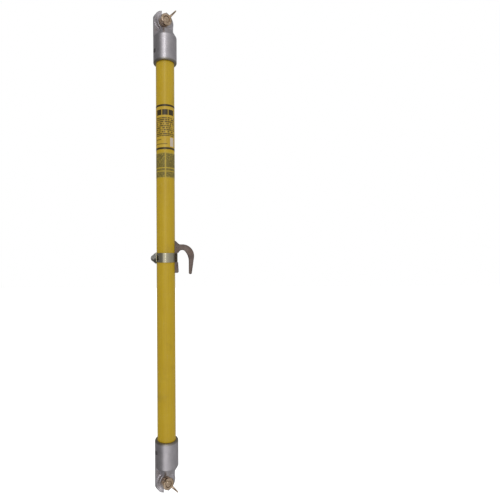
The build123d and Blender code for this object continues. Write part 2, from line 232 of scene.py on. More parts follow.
# %% World
bpy.context.scene.view_settings.view_transform = "Standard"
world = bpy.data.worlds.new("studio")
bpy.context.scene.world = world
world.use_nodes = True
sky = world.node_tree
sky.nodes.clear()
direction = sky.nodes.new("ShaderNodeSeparateXYZ")
feed(sky, direction.inputs[0], sky.nodes.new("ShaderNodeTexCoord").outputs["Generated"])
turn = maths(sky, "ARCTAN2", direction.outputs["X"], maths(sky, "MULTIPLY", direction.outputs["Y"], -1.0))
side = remap(sky, turn, -math.pi, math.pi)
light_path = sky.nodes.new("ShaderNodeLightPath")
light = blend(sky, light_path.outputs["Is Glossy Ray"], grey_ramp(sky, side, SIDES_SEEN_BY_MATT),
              grey_ramp(sky, side, SIDES_SEEN_BY_METAL))
seen_directly = maths(sky, "MAXIMUM", light_path.outputs["Is Camera Ray"],
                      light_path.outputs["Is Transmission Ray"])
background = sky.nodes.new("ShaderNodeBackground")
feed(sky, background.inputs["Color"], blend(sky, seen_directly, light, WHITE))
sky.links.new(background.outputs[0], sky.nodes.new("ShaderNodeOutputWorld").inputs["Surface"])
print("world", len(sky.nodes), "nodes")

# %% [markdown]
# One tall narrow lamp stands behind the camera, above its height. Its reflection is the thin bright line
# down the upper half of the tube, and the lower half has none.

# %% Strip lamp
STRIP_SIZE = (0.14, 1.4)
STRIP_PLACE = Vector((0.0, -1.5, 0.62))
STRIP_POWER = 2.4

strip = bpy.data.lights.new("strip_lamp", "AREA")
strip.shape = "RECTANGLE"
strip.size, strip.size_y = STRIP_SIZE
strip.energy = STRIP_POWER
strip_object = bpy.data.objects.new("strip_lamp", strip)
bpy.context.scene.collection.objects.link(strip_object)
facing = (-STRIP_PLACE).to_track_quat("-Z", "Y").to_matrix().to_4x4()
strip_object.matrix_world = Matrix.Translation(STRIP_PLACE) @ facing
print("strip lamp", STRIP_POWER, "watts")

# %% [markdown]
# ## The floor
# The stick is held upright above a pale floor. The floor takes the stick's soft shadow as any matt surface
# does, and glows besides, only for the camera, so that it is as white as the paper behind it. The lower head
# is metal and would mirror a floor this near. Reflected rays pass through the floor instead, so that both
# heads mirror the same softbox.

# %% Floor
FLOOR_DROP = 0.24
FLOOR_HALF = 6.0

floor_z = cad_low.z - FLOOR_DROP
corners = [(-1, -1), (1, -1), (1, 1), (-1, 1)]
floor_mesh = bpy.data.meshes.new("floor")
floor_mesh.from_pydata([(x * FLOOR_HALF, y * FLOOR_HALF, floor_z) for x, y in corners], [], [(0, 1, 2, 3)])
floor = bpy.data.objects.new("floor", floor_mesh)
bpy.context.scene.collection.objects.link(floor)
print("floor at", round(floor_z, 3))

# %% Floor paper
FLOOR_SHADE = (0.86, 0.86, 0.86, 1.0)
FLOOR_GLOW = 0.62

floor_material = bpy.data.materials.new("floor_paper")
floor_material.use_nodes = True
paper = floor_material.node_tree
paper.nodes.clear()
rays = paper.nodes.new("ShaderNodeLightPath").outputs


def mixed(factor, first, second):
    """The first shader where the factor is 0, the second where it is 1."""
    node = paper.nodes.new("ShaderNodeMixShader")
    for socket, value in zip(node.inputs, (factor, first, second)):
        feed(paper, socket, value)
    return node.outputs[0]


matt = paper.nodes.new("ShaderNodeBsdfDiffuse")
matt.inputs["Color"].default_value = FLOOR_SHADE
glow = paper.nodes.new("ShaderNodeEmission")
glow.inputs["Strength"].default_value = FLOOR_GLOW
lit = paper.nodes.new("ShaderNodeAddShader")
feed(paper, lit.inputs[0], matt.outputs[0])
feed(paper, lit.inputs[1], glow.outputs[0])
seen = mixed(rays["Is Camera Ray"], matt.outputs[0], lit.outputs[0])
clear = paper.nodes.new("ShaderNodeBsdfTransparent").outputs[0]
unmirrored = mixed(rays["Is Glossy Ray"], seen, clear)
paper.links.new(unmirrored, paper.nodes.new("ShaderNodeOutputMaterial").inputs["Surface"])
floor_mesh.materials.append(floor_material)
print("floor paper", len(paper.nodes), "nodes")

# %% [markdown]
# ## Effects that several materials share
# Wear, grain and grime turn up on one part after another, so each is a node group: a box with named inputs
# and outputs that is built once and placed in many materials with its own settings.

# %% Making a group


def new_group(name, inputs, outputs):
    """An empty node group: inputs are (title, kind, value), outputs are (title, kind)."""
    tree = bpy.data.node_groups.new(name, "ShaderNodeTree")
    for title, kind, value in inputs:
        socket = tree.interface.new_socket(title, in_out="INPUT", socket_type="NodeSocket" + kind)
        socket.default_value = value
    for title, kind in outputs:
        tree.interface.new_socket(title, in_out="OUTPUT", socket_type="NodeSocket" + kind)
    return tree, tree.nodes.new("NodeGroupInput").outputs, tree.nodes.new("NodeGroupOutput").inputs


def place_group(tree, group, **values):
    """Puts a group in a material. Underscores in the names of the values stand for spaces."""
    node = tree.nodes.new("ShaderNodeGroup")
    node.node_tree = group
    for title, value in values.items():
        feed(tree, node.inputs[title.replace("_", " ")], value)
    return node.outputs


print("group helpers ready")

# %% [markdown]
# **Edge wear.** Rubbing brightens the corners of a part first. The Bevel node gives the direction that a
# rounded corner would face. Where that differs from the real direction there is a corner, and noise breaks
# the mask into patches so that it doesn't look drawn with a ruler.

# %% Edge wear group
BEVEL_SAMPLES = 6
FLAT_TO_SHARP = (0.995, 0.80)
BARE_TO_RUBBED = (0.35, 0.60)

edge_wear, given, result = new_group(
    "edge_wear", [("Width", "Float", 0.0006), ("Patches", "Float", 400.0)], [("Mask", "Float")])
bevel = edge_wear.nodes.new("ShaderNodeBevel")
bevel.samples = BEVEL_SAMPLES
feed(edge_wear, bevel.inputs["Radius"], given["Width"])
corner = edge_wear.nodes.new("ShaderNodeVectorMath")
corner.operation = "DOT_PRODUCT"
feed(edge_wear, corner.inputs[0], bevel.outputs["Normal"])
feed(edge_wear, corner.inputs[1], edge_wear.nodes.new("ShaderNodeNewGeometry").outputs["Normal"])
sharp = remap(edge_wear, corner.outputs["Value"], *FLAT_TO_SHARP)
patches = noise(edge_wear, object_place(edge_wear), given["Patches"])
patchy = remap(edge_wear, patches, *BARE_TO_RUBBED)
feed(edge_wear, result["Mask"], maths(edge_wear, "MULTIPLY", sharp, patchy))
print("edge wear", len(edge_wear.nodes), "nodes")

# %% [markdown]
# **Cast grain.** Metal poured in sand keeps the sand's skin: fine grain all over and a few small pits. Two
# noises of different size give the grain, and the lowest spots of a third one are the pits.

# %% Cast grain group
CLOUD_SCALE = 0.09
CLOUD_HEIGHT = 0.8
PIT_RANGE = (0.34, 0.27)
PIT_DEPTH = 0.7

cast_grain, given, result = new_group(
    "cast_grain", [("Grain", "Float", 1500.0), ("Pits", "Float", 500.0)],
    [("Height", "Float"), ("Pit mask", "Float"), ("Cloud", "Float")])
place = object_place(cast_grain)
fine = noise(cast_grain, place, given["Grain"], detail=4.0, roughness=0.6)
cloud = noise(cast_grain, place, maths(cast_grain, "MULTIPLY", given["Grain"], CLOUD_SCALE))
pits = remap(cast_grain, noise(cast_grain, place, given["Pits"], detail=2.0), *PIT_RANGE)
feed(cast_grain, result["Height"], summed(cast_grain, fine, (cloud, CLOUD_HEIGHT), (pits, -PIT_DEPTH)))
feed(cast_grain, result["Pit mask"], pits)
feed(cast_grain, result["Cloud"], cloud)
print("cast grain", len(cast_grain.nodes), "nodes")

# %% [markdown]
# **Scratches.** A noise drawn out along one direction turns into streaks. Taking only its narrow middle
# values leaves thin lines that start and stop.

# %% Scratches group
GAP_SCALE = 60.0
GAP_RANGE = (0.45, 0.62)

scratches, given, result = new_group(
    "scratches", [("Stretch", "Vector", (1500.0, 1500.0, 30.0)), ("Width", "Float", 0.02)],
    [("Mask", "Float")])
streaks = noise(scratches, stretched(scratches, object_place(scratches), given["Stretch"]), 1.0, detail=2.0)
off_middle = maths(scratches, "ABSOLUTE", maths(scratches, "SUBTRACT", streaks, 0.5))
line = remap(scratches, off_middle, given["Width"], 0.0)
gaps = remap(scratches, noise(scratches, object_place(scratches), GAP_SCALE), *GAP_RANGE)
feed(scratches, result["Mask"], maths(scratches, "MULTIPLY", line, gaps))
print("scratches", len(scratches.nodes), "nodes")

# %% [markdown]
# **Grime.** Handling leaves dull brownish smears in soft patches. The amount sets how much of the surface
# they cover, by lowering the level of noise at which a smear starts.

# %% Grime group
CLEAN_LEVEL = 0.78
LEVEL_PER_AMOUNT = 0.4
SMEAR_SOFTNESS = 0.22

grime, given, result = new_group(
    "grime", [("Size", "Float", 40.0), ("Amount", "Float", 0.5)], [("Mask", "Float")])
smears = noise(grime, object_place(grime), given["Size"], detail=6.0, roughness=0.62)
lowered = maths(grime, "MULTIPLY", given["Amount"], LEVEL_PER_AMOUNT)
start_level = maths(grime, "SUBTRACT", CLEAN_LEVEL, lowered)
full_level = maths(grime, "ADD", start_level, SMEAR_SOFTNESS)
feed(grime, result["Mask"], remap(grime, smears, start_level, full_level))
print("grime", len(grime.nodes), "nodes")

# %% [markdown]
# **Round the tube.** A pattern printed on a tube needs two measures: how far round, and how far along. The
# first is the angle from the front times the radius, and the second is the height. Both come out in
# millimetres, which are easier to set out a label in.

# %% Round the tube group
MM = 1000.0
FRONT_ANGLE = math.radians(4.3)
FILM_R = 15.975

round_tube, given, result = new_group(
    "round_tube", [("Radius", "Float", FILM_R)], [("Round", "Float"), ("Along", "Float")])
place = split_place(round_tube)
angle = maths(round_tube, "ARCTAN2", place["X"], maths(round_tube, "MULTIPLY", place["Y"], -1.0))
from_front = maths(round_tube, "SUBTRACT", angle, FRONT_ANGLE)
feed(round_tube, result["Round"], maths(round_tube, "MULTIPLY", from_front, given["Radius"]))
feed(round_tube, result["Along"], maths(round_tube, "MULTIPLY", place["Z"], MM))
print("round the tube", len(round_tube.nodes), "nodes")

# %% [markdown]
# ## Making a material
# Every material is one Principled shader. What is the same all over is written on its own fields, and only
# what changes over the surface comes in by a link. Its colour is laid on in layers, as on the real thing:
# the bare skin first, then stains, dirt and rubbed spots, each through its own mask.

# %% Material helpers


def new_material(name, **plain):
    """A material with one Principled shader: returns it, its node tree and the shader's inputs."""
    material = bpy.data.materials.new(name)
    material.use_nodes = True
    tree = material.node_tree
    tree.nodes.clear()
    shader = tree.nodes.new("ShaderNodeBsdfPrincipled")
    tree.links.new(shader.outputs[0], tree.nodes.new("ShaderNodeOutputMaterial").inputs["Surface"])
    for title, value in plain.items():
        shader.inputs[title.replace("_", " ")].default_value = value
    return material, tree, shader.inputs


def bump(tree, height, strength, distance):
    """The surface's direction, tilted as if the height stood out of it by up to the distance."""
    node = tree.nodes.new("ShaderNodeBump")
    node.inputs["Strength"].default_value = strength
    node.inputs["Distance"].default_value = distance
    feed(tree, node.inputs["Height"], height)
    return node.outputs["Normal"]


def dress(material, *names):
    """Gives a material to CAD nodes, in every slot they have."""
    for name in names:
        for slot in nodes[name].material_slots:
            slot.material = material


print("material helpers ready")

# %% [markdown]
# ## The fibreglass tube
# The tube is drawn through a die, so its glass fibres run along it and show as fine streaks under a thin
# yellow resin skin. Years of gloves and ropes have left the gloss uneven, with hairline scratches and a
# little grime. The streaks are a noise stretched along Z. They change the colour and the gloss a little.

# %% Fibreglass
RESIN_TONES = ((0.495, 0.322, 0.006, 1.0), (0.560, 0.380, 0.009, 1.0))
AGED_RESIN = (0.445, 0.278, 0.006, 1.0)
HANDLED_RESIN = (0.21, 0.140, 0.020, 1.0)
SCUFFED_RESIN = (0.62, 0.50, 0.16, 1.0)
FIBRE_STRETCH = (1300.0, 1300.0, 14.0)
SCUFF_STRETCH = (900.0, 900.0, 25.0)

fibreglass, tree, shader = new_material("yellow_fibreglass", Metallic=0.0, Specular_IOR_Level=0.42)
place = object_place(tree)
fibres = noise(tree, stretched(tree, place, FIBRE_STRETCH), 1.0, detail=4.0, roughness=0.6)
tone = remap(tree, noise(tree, place, 22.0, detail=5.0, roughness=0.6), USUAL_LOW, USUAL_HIGH)
dirt = place_group(tree, grime, Size=34.0, Amount=0.55)["Mask"]
scuffs = place_group(tree, scratches, Stretch=SCUFF_STRETCH, Width=0.018)["Mask"]
resin = two_tone(tree, fibres, RESIN_TONES)
resin = layer(tree, resin, tone, 0.35, AGED_RESIN)
resin = layer(tree, resin, dirt, 0.30, HANDLED_RESIN)
feed(tree, shader["Base Color"], layer(tree, resin, scuffs, 0.28, SCUFFED_RESIN))
feed(tree, shader["Roughness"], summed(tree, 0.27, (dirt, 0.12), (fibres, 0.10), (scuffs, 0.12)))
relief = maths(tree, "SUBTRACT", fibres, scuffs)
feed(tree, shader["Normal"], bump(tree, relief, strength=0.25, distance=0.00005))
dress(fibreglass, "tube")
print("fibreglass", len(tree.nodes), "nodes")

# %% [markdown]
# ## Printed film
# Two films are wrapped round the tube. At this size their fine print is only rows of dark dashes. Each row is
# a thin slice of the height, and a noise that reads the distance round the tube and the row's number breaks
# it into dashes, so that no two rows are alike.

# %% Printed rows group
ROW_EDGE = 0.04
ROW_TO_ROW = 7.31
DASH_SCALE = 1.1
DASH_EDGE = 0.02
EMPTY_TO_FULL = (0.62, 0.38)

printed_rows, given, result = new_group(
    "printed_rows",
    [("Round", "Float", 0.0), ("Along", "Float", 0.0), ("Pitch", "Float", 3.0), ("Thickness", "Float", 0.5),
     ("Filling", "Float", 0.5)], [("Mask", "Float")])
row = maths(printed_rows, "DIVIDE", given["Along"], given["Pitch"])
row_number = maths(printed_rows, "FLOOR", row)
across_row = maths(printed_rows, "SUBTRACT", maths(printed_rows, "FRACT", row), 0.5)
off_row = maths(printed_rows, "ABSOLUTE", across_row)
half = maths(printed_rows, "MULTIPLY", given["Thickness"], 0.5)
in_row = remap(printed_rows, off_row, maths(printed_rows, "ADD", half, ROW_EDGE), half)
spot = printed_rows.nodes.new("ShaderNodeCombineXYZ")
feed(printed_rows, spot.inputs["X"], given["Round"])
feed(printed_rows, spot.inputs["Y"], maths(printed_rows, "MULTIPLY", row_number, ROW_TO_ROW))
dashes = noise(printed_rows, spot.outputs[0], DASH_SCALE, detail=1.0)
cut = remap(printed_rows, given["Filling"], 0.0, 1.0, *EMPTY_TO_FULL)
dashed = remap(printed_rows, dashes, maths(printed_rows, "SUBTRACT", cut, DASH_EDGE),
               maths(printed_rows, "ADD", cut, DASH_EDGE))
feed(printed_rows, result["Mask"], maths(printed_rows, "MULTIPLY", in_row, dashed))
print("printed rows", len(printed_rows.nodes), "nodes")

# %% [markdown]
# **The upper film** is gold, with a black bar at each end, plain black blocks below the first bar, a few rows
# of fine print under those, and a bare stretch with two dashes and one pale patch. The rows are given only
# half the distance round, which makes their dashes twice as long. All places are in millimetres: heights
# above mid-length, and distances round the tube from its front.

# %% Layout of the upper film
BAR_WIDTH = 3.4
BAR_HEIGHTS = (247.1, 174.6)
BLOCKS = ((-16.5, -6.6), (-5.4, 4.4), (5.6, 16.0))
BLOCK_HEIGHTS = (230.8, 240.2)
ROW_BOX = (-18.5, 18.0, 195.0, 227.0)
ROW_PITCH = 3.4
DASHES = ((-18.6, -7.1, 189.5), (-18.6, 3.5, 182.0))
DASH_HALF = 0.7
PATCH = (8.5, 16.0, 178.0, 193.0)
EDGE = 0.25


def either(tree, first, *others):
    """The largest of several masks: 1 where any of them is."""
    for other in others:
        first = maths(tree, "MAXIMUM", first, other)
    return first


def rectangle(tree, place, left, right, low, high):
    """1 inside a rectangle on the unrolled tube, 0 outside."""
    across = between(tree, place["Round"], left, right, EDGE)
    return maths(tree, "MULTIPLY", across, between(tree, place["Along"], low, high, EDGE))


print("upper film", len(BAR_HEIGHTS), "bars", len(BLOCKS), "blocks", len(DASHES), "dashes")

# %% Upper film
INK = (0.030, 0.019, 0.003, 1.0)
GOLD_TONES = ((0.510, 0.325, 0.018, 1.0), (0.575, 0.378, 0.030, 1.0))
RUBBED_GOLD = (0.30, 0.21, 0.06, 1.0)
PALE_PATCH = (0.62, 0.58, 0.60, 1.0)
DASH_INK = 0.75
ROW_INK = 0.82
INK_CLEAN_AND_RUBBED = (0.97, 0.80)
ROUND_SHARE = 0.5

gold_film, tree, shader = new_material("gold_printed_film", Metallic=0.0, Specular_IOR_Level=0.45)
unrolled = place_group(tree, round_tube)
marks = [between(tree, unrolled["Along"], height - BAR_WIDTH / 2, height + BAR_WIDTH / 2, EDGE)
         for height in BAR_HEIGHTS]
marks += [rectangle(tree, unrolled, left, right, *BLOCK_HEIGHTS) for left, right in BLOCKS]
for left, right, height in DASHES:
    dash = rectangle(tree, unrolled, left, right, height - DASH_HALF, height + DASH_HALF)
    marks.append(maths(tree, "MULTIPLY", dash, DASH_INK))
rows = place_group(tree, printed_rows, Round=maths(tree, "MULTIPLY", unrolled["Round"], ROUND_SHARE),
                   Along=unrolled["Along"], Pitch=ROW_PITCH, Thickness=0.70, Filling=0.86)["Mask"]
fine_print = maths(tree, "MULTIPLY", rows, rectangle(tree, unrolled, *ROW_BOX))
marks.append(maths(tree, "MULTIPLY", fine_print, ROW_INK))
rubbed = place_group(tree, grime, Size=55.0, Amount=0.45)["Mask"]
ink_left = remap(tree, rubbed, 0.0, 1.0, *INK_CLEAN_AND_RUBBED)
print_mask = maths(tree, "MULTIPLY", either(tree, *marks), ink_left)
film = two_tone(tree, noise(tree, object_place(tree), 60.0, detail=4.0), GOLD_TONES)
film = layer(tree, film, rubbed, 0.25, RUBBED_GOLD)
film = layer(tree, film, rectangle(tree, unrolled, *PATCH), 0.65, PALE_PATCH)
feed(tree, shader["Base Color"], blend(tree, print_mask, film, INK))
feed(tree, shader["Roughness"], summed(tree, 0.32, (rubbed, 0.15)))
dress(gold_film, "name_label")
print("gold film", len(tree.nodes), "nodes")

# %% [markdown]
# **The lower film** is all fine print in two columns, with two bare lines in it. A narrow pale strip of the
# bare tube shows between the two films.

# %% Lower film
COLUMNS = ((-21.0, -1.1), (1.1, 21.0))
COLUMN_HEIGHTS = (126.2, 166.2)
BARE_LINES = ((140.6, 142.6), (135.4, 137.2))
LINE_PITCH = 1.9
FADED_INK = (0.040, 0.036, 0.012, 1.0)
FADED_CLEAN_AND_RUBBED = (0.88, 0.60)
OLIVE_TONES = ((0.42, 0.292, 0.022, 1.0), (0.48, 0.345, 0.032, 1.0))
INKY_OLIVE = (0.25, 0.205, 0.040, 1.0)

text_film, tree, shader = new_material("text_printed_film", Metallic=0.0, Specular_IOR_Level=0.42)
unrolled = place_group(tree, round_tube)
rows = place_group(tree, printed_rows, Round=unrolled["Round"], Along=unrolled["Along"], Pitch=LINE_PITCH,
                   Thickness=0.62, Filling=0.80)["Mask"]
column_mask = either(tree, *[rectangle(tree, unrolled, left, right, *COLUMN_HEIGHTS)
                             for left, right in COLUMNS])
for low, high in BARE_LINES:
    bare = between(tree, unrolled["Along"], low, high, EDGE)
    column_mask = maths(tree, "MULTIPLY", column_mask, maths(tree, "SUBTRACT", 1.0, bare))
rubbed = place_group(tree, grime, Size=48.0, Amount=0.5)["Mask"]
ink_left = remap(tree, rubbed, 0.0, 1.0, *FADED_CLEAN_AND_RUBBED)
print_mask = maths(tree, "MULTIPLY", maths(tree, "MULTIPLY", rows, column_mask), ink_left)
film = two_tone(tree, noise(tree, object_place(tree), 70.0, detail=4.0), OLIVE_TONES)
film = layer(tree, film, column_mask, 0.50, INKY_OLIVE)
feed(tree, shader["Base Color"], blend(tree, print_mask, film, FADED_INK))
feed(tree, shader["Roughness"], summed(tree, 0.36, (rubbed, 0.12)))
dress(text_film, "text_label")
print("text film", len(tree.nodes), "nodes")

# %% [markdown]
# ## Cast aluminium heads
# The heads are sand cast and tumbled. The skin is grey with fine grain, a few pits, and darker oxide in soft
# clouds, and rubbed edges are brighter. Metals have no colour of their own other than their reflection, so
# the base colour is the strength of that reflection. Shade and the tube's yellow reflection are painted
# where the socket's rim meets the tube, and a mask on the height finds that rim on both heads at once.

# %% Cast aluminium
ALUMINIUM_TONES = ((0.50, 0.475, 0.50, 1.0), (0.585, 0.555, 0.58, 1.0))
OXIDE = (0.36, 0.335, 0.345, 1.0)
ALUMINIUM_PIT = (0.20, 0.185, 0.19, 1.0)
RUBBED_ALUMINIUM = (0.74, 0.72, 0.74, 1.0)
# painted shade at the socket's rim, dark and yellowish like the tube's reflection there
RIM_PAINTED_SHADE = (0.20, 0.175, 0.095, 1.0)
RIM_HEIGHT = 0.3225
RIM_SHADE_FULL = RIM_HEIGHT + 0.00126
RIM_SHADE_END = RIM_HEIGHT + 0.0042

aluminium, tree, shader = new_material("cast_aluminium", Metallic=1.0)
grain = place_group(tree, cast_grain, Grain=1400.0, Pits=650.0)
worn = place_group(tree, edge_wear, Width=0.0007, Patches=350.0)["Mask"]
dirt = place_group(tree, grime, Size=60.0, Amount=0.45)["Mask"]
from_middle = maths(tree, "ABSOLUTE", split_place(tree)["Z"])
at_rim = remap(tree, from_middle, RIM_SHADE_END, RIM_SHADE_FULL)
skin = two_tone(tree, grain["Cloud"], ALUMINIUM_TONES, low=0.3, high=0.7)
skin = layer(tree, skin, dirt, 0.40, OXIDE)
skin = layer(tree, skin, grain["Pit mask"], 0.6, ALUMINIUM_PIT)
skin = layer(tree, skin, worn, 0.7, RUBBED_ALUMINIUM)
# the painted rim shade and reflection are laid on last
feed(tree, shader["Base Color"], layer(tree, skin, at_rim, 0.75, RIM_PAINTED_SHADE))
feed(tree, shader["Roughness"], summed(tree, 0.28, (dirt, 0.12), (grain["Cloud"], 0.14), (worn, -0.08)))
feed(tree, shader["Normal"], bump(tree, grain["Height"], strength=0.45, distance=0.00016))
dress(aluminium, "top_head", "bottom_head")
print("aluminium", len(tree.nodes), "nodes")

# %% [markdown]
# ## Bronze bolt, washer and wing nut
# Bronze goes brown where it isn't touched and stays golden where hands and tools rub it. The wing nut is
# handled most, so the edge mask has the largest share in it.

# %% Bronze
BRONZE_TONES = ((0.54, 0.40, 0.25, 1.0), (0.80, 0.62, 0.48, 1.0))
BROWN_BRONZE = (0.19, 0.130, 0.060, 1.0)
BRONZE_PIT = (0.14, 0.09, 0.05, 1.0)
RUBBED_BRONZE = (0.86, 0.74, 0.62, 1.0)

bronze, tree, shader = new_material("handled_bronze", Metallic=1.0)
grain = place_group(tree, cast_grain, Grain=1800.0, Pits=700.0)
worn = place_group(tree, edge_wear, Width=0.0006, Patches=420.0)["Mask"]
dirt = place_group(tree, grime, Size=180.0, Amount=0.7)["Mask"]
skin = two_tone(tree, grain["Cloud"], BRONZE_TONES, low=0.3, high=0.7)
skin = layer(tree, skin, dirt, 0.75, BROWN_BRONZE)
skin = layer(tree, skin, grain["Pit mask"], 0.6, BRONZE_PIT)
feed(tree, shader["Base Color"], layer(tree, skin, worn, 0.85, RUBBED_BRONZE))
feed(tree, shader["Roughness"], summed(tree, 0.26, (dirt, 0.18), (grain["Cloud"], 0.12), (worn, -0.08)))
feed(tree, shader["Normal"], bump(tree, grain["Height"], strength=0.30, distance=0.0001))
for end in ("top", "bottom"):
    dress(bronze, f"{end}_bolt", f"{end}_washer", f"{end}_wing_nut")
print("bronze", len(tree.nodes), "nodes")

# %% [markdown]
# ## The cast hook
# The hook is a rough iron casting with a brown oxide skin, coarser than the heads. Its rounded edges, where
# lines and rails rub, are lighter and a little metallic.

# %% Brown cast iron
IRON_TONES = ((0.105, 0.074, 0.064, 1.0), (0.195, 0.147, 0.128, 1.0))
RUST = (0.170, 0.092, 0.052, 1.0)
IRON_PIT = (0.045, 0.032, 0.027, 1.0)
RUBBED_IRON = (0.33, 0.27, 0.25, 1.0)

iron, tree, shader = new_material("brown_cast_iron", Metallic=0.25)
grain = place_group(tree, cast_grain, Grain=1000.0, Pits=300.0)
worn = place_group(tree, edge_wear, Width=0.0012, Patches=220.0)["Mask"]
rust = place_group(tree, grime, Size=75.0, Amount=0.6)["Mask"]
skin = two_tone(tree, grain["Cloud"], IRON_TONES, low=0.32, high=0.68)
skin = layer(tree, skin, rust, 0.60, RUST)
skin = layer(tree, skin, grain["Pit mask"], 0.7, IRON_PIT)
feed(tree, shader["Base Color"], layer(tree, skin, worn, 0.40, RUBBED_IRON))
feed(tree, shader["Roughness"], summed(tree, 0.40, (rust, 0.12), (grain["Cloud"], 0.18), (worn, -0.12)))
feed(tree, shader["Normal"], bump(tree, grain["Height"], strength=0.80, distance=0.00045))
dress(iron, "hanger_hook")
print("iron", len(tree.nodes), "nodes")

# %% [markdown]
# ## Stainless band and dark steel
# The band is rolled strip: its polish runs along it, round the tube, so the fine lines are a noise squeezed
# hard along Z only. The housing, its screw and the pins are blackened steel, rubbed bright at the edges.
# The lower half of the housing and its screw is painted darker, as shade.

# %% Stainless steel
STRIP_TONES = ((0.44, 0.405, 0.300, 1.0), (0.56, 0.52, 0.39, 1.0))
STAINED_STRIP = (0.25, 0.215, 0.105, 1.0)
RUBBED_STRIP = (0.70, 0.67, 0.56, 1.0)
POLISH_STRETCH = (60.0, 60.0, 4500.0)

stainless, tree, shader = new_material("stainless_strip", Metallic=1.0)
polish = noise(tree, stretched(tree, object_place(tree), POLISH_STRETCH), 1.0)
worn = place_group(tree, edge_wear, Width=0.0004, Patches=500.0)["Mask"]
dirt = place_group(tree, grime, Size=110.0, Amount=0.5)["Mask"]
skin = blend(tree, polish, *STRIP_TONES)
skin = layer(tree, skin, dirt, 0.60, STAINED_STRIP)
feed(tree, shader["Base Color"], layer(tree, skin, worn, 0.35, RUBBED_STRIP))
feed(tree, shader["Roughness"], summed(tree, 0.10, (polish, 0.08), (dirt, 0.12)))
feed(tree, shader["Normal"], bump(tree, polish, strength=0.2, distance=0.00003))
dress(stainless, "clamp_band")
print("stainless", len(tree.nodes), "nodes")

# %% Dark steel
# the heights and colour of the painted shade on the housing's lower half
HOUSING_SHADE_TOP = -0.0100
HOUSING_SHADE_END = -0.0140
PAINTED_HOUSING_SHADE = (0.020, 0.017, 0.012, 1.0)
HOUSING_TONES = ((0.030, 0.028, 0.024, 1.0), (0.27, 0.265, 0.245, 1.0), (0.36, 0.355, 0.33, 1.0))
PIN_TONES = ((0.06, 0.056, 0.055, 1.0), (0.17, 0.16, 0.16, 1.0), (0.42, 0.41, 0.41, 1.0))


def dark_metal(name, tones, roughness, shade_below=0.0):
    """Blackened metal: dark and middle tones in clouds, the bright one on edges, painted shade below one
    height.
    """
    dark, middle, bright = tones
    material, tree, shader = new_material(name, Metallic=1.0)
    grain = place_group(tree, cast_grain, Grain=2200.0, Pits=600.0)
    worn = place_group(tree, edge_wear, Width=0.0006, Patches=420.0)["Mask"]
    dirt = place_group(tree, grime, Size=200.0, Amount=0.65)["Mask"]
    skin = layer(tree, middle, dirt, 0.9, dark)
    skin = layer(tree, skin, grain["Pit mask"], 0.6, dark)
    skin = layer(tree, skin, worn, 0.75, bright)
    if shade_below:
        # painted shade: darker below a height on the housing and its screw
        lower_shade = remap(tree, split_place(tree)["Z"], HOUSING_SHADE_TOP, HOUSING_SHADE_END)
        skin = layer(tree, skin, lower_shade, shade_below, PAINTED_HOUSING_SHADE)
    feed(tree, shader["Base Color"], skin)
    feed(tree, shader["Roughness"], summed(tree, roughness, (dirt, 0.2)))
    feed(tree, shader["Normal"], bump(tree, grain["Height"], strength=0.30, distance=0.00012))
    return material


housing_steel = dark_metal("blackened_housing", HOUSING_TONES, roughness=0.24, shade_below=0.85)
pin_steel = dark_metal("blackened_pin", PIN_TONES, roughness=0.34)
dress(housing_steel, "clamp_housing", "clamp_screw")
for end in ("top", "bottom"):
    dress(pin_steel, f"{end}_cross_pin", f"{end}_slot_pin")
print("dark steel:", housing_steel.name, pin_steel.name)

# %% [markdown]
# ## What is inside
# The foam, the plugs and the glue are seen only when the stick is taken apart, but they are dressed too. Foam
# is a pale yellow mass of tiny closed cells, which a Voronoi pattern makes well: each cell is the area
# nearest to one random point. Plug resin is filled and speckled, and the epoxy is amber.

# %% Foam
FOAM_TONES = ((0.42, 0.33, 0.15, 1.0), (0.72, 0.62, 0.38, 1.0))
CELLS_PER_METRE = 1600.0

foam, tree, shader = new_material("closed_cell_foam", Metallic=0.0, Roughness=0.9)
cells = tree.nodes.new("ShaderNodeTexVoronoi")
cells.inputs["Scale"].default_value = CELLS_PER_METRE
feed(tree, cells.inputs["Vector"], object_place(tree))
cell_wall = remap(tree, cells.outputs["Distance"], 0.15, 0.6)
feed(tree, shader["Base Color"], blend(tree, cell_wall, *FOAM_TONES))
feed(tree, shader["Normal"], bump(tree, cell_wall, strength=0.6, distance=0.0003))
dress(foam, "foam_core")
print("foam", len(tree.nodes), "nodes")

# %% Plugs and glue
PLUG_TONES = ((0.16, 0.15, 0.14, 1.0), (0.24, 0.23, 0.21, 1.0))
EPOXY_TONES = ((0.30, 0.19, 0.05, 1.0), (0.42, 0.29, 0.09, 1.0))

plug_resin, tree, shader = new_material("filled_plug_resin", Metallic=0.0)
speckle = remap(tree, noise(tree, object_place(tree), 1800.0), 0.42, 0.62)
feed(tree, shader["Base Color"], blend(tree, speckle, *PLUG_TONES))
feed(tree, shader["Roughness"], summed(tree, 0.5, (speckle, 0.15)))
dress(plug_resin, "top_end_plug", "bottom_end_plug")

epoxy, tree, shader = new_material("amber_epoxy", Metallic=0.0)
depth_of_colour = remap(tree, noise(tree, object_place(tree), 90.0), USUAL_LOW, USUAL_HIGH)
feed(tree, shader["Base Color"], blend(tree, depth_of_colour, *EPOXY_TONES))
feed(tree, shader["Roughness"], summed(tree, 0.2, (depth_of_colour, 0.15)))
dress(epoxy, "top_bond_line", "bottom_bond_line")
print("inside:", foam.name, plug_resin.name, epoxy.name)

# %% [markdown]
# ## Wing nuts
# A wing nut is cast in one piece, so its wings flow out of the hub in soft corners. The CAD solid has the
# right sizes but meets the hub in sharp lines. Here the nut is made again as a casting is: the hub is a
# profile turned round the bolt, each wing is a row of oval sections carried along a bent line, and a voxel
# remesh melts the three into one skin, which a little smoothing then relaxes.
#
# Everything on a head lies in the frame of its toothed face: its normal, which is also the bolt's direction,
# and the direction across it.

